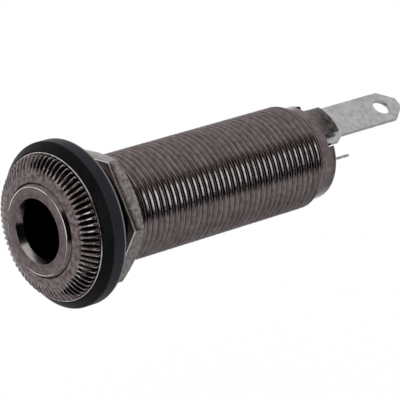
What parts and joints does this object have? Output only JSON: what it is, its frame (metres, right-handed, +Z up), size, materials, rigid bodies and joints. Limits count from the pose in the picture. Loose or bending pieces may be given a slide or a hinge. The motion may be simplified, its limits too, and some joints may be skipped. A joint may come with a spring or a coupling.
{
  "type": "quarter inch phone jack",
  "caption": "Panel-mount phone socket for a quarter inch stereo plug, with a long threaded barrel, knurled ring nut, rubber washer, hex nut and rear solder lugs.",
  "frame": {"origin": "on the barrel's axis, in the plane of the rubber washer's back, which seats on the panel", "axes": "-Y out of the socket, along the plug's way out; +Y along the barrel to the solder lugs; +Z up as in the picture"},
  "size_m": [0.0182, 0.0522, 0.0182],
  "materials": {
    "black_nickel": "bright black nickel plate over turned brass",
    "nickel_nut": "black nickel plate, slightly pitted on the flats",
    "black_rubber": "moulded, smooth satin",
    "liner_plastic": "matte black tube",
    "insulator_board": "brown laminated board, cut edges",
    "tinned_brass": "dull tin plate",
    "spring_bronze": "bare spring strip"
  },
  "bodies": {
    "body": {"threaded_barrel": "black_nickel", "rubber_washer": "black_rubber", "insulating_liner": "liner_plastic", "upper_insulator": "insulator_board", "middle_insulator": "insulator_board", "lower_insulator": "insulator_board", "sleeve_lug": "tinned_brass", "tip_lug": "tinned_brass", "ring_lug": "tinned_brass"},
    "ring_nut": {"knurled_ring_nut": "black_nickel"},
    "nut": {"hex_nut": "nickel_nut"},
    "tip_leaf": {"tip_spring": "spring_bronze"},
    "ring_leaf": {"ring_spring": "spring_bronze"}
  },
  "joints": [
    {"name": "ring_nut_unscrew", "type": "slide", "parent": "body", "child": "ring_nut", "axis": [0, -1, 0], "range_m": [0, 0.006]},
    {"name": "hex_nut_travel", "type": "slide", "parent": "body", "child": "nut", "axis": [0, 1, 0], "range_m": [-0.00225, 0.0279]},
    {"name": "tip_spring_flex", "type": "hinge", "parent": "body", "child": "tip_leaf", "pos_m": [0.00091, 0.02868, -0.00195], "axis": [0.9063, 0, 0.4226], "range_deg": [0, 8], "stiffness_Nm_per_rad": 0.2},
    {"name": "ring_spring_flex", "type": "hinge", "parent": "body", "child": "ring_leaf", "pos_m": [-0.00091, 0.02868, 0.00195], "axis": [-0.9063, 0, -0.4226], "range_deg": [0, 2.2], "stiffness_Nm_per_rad": 1.4}
  ]
}
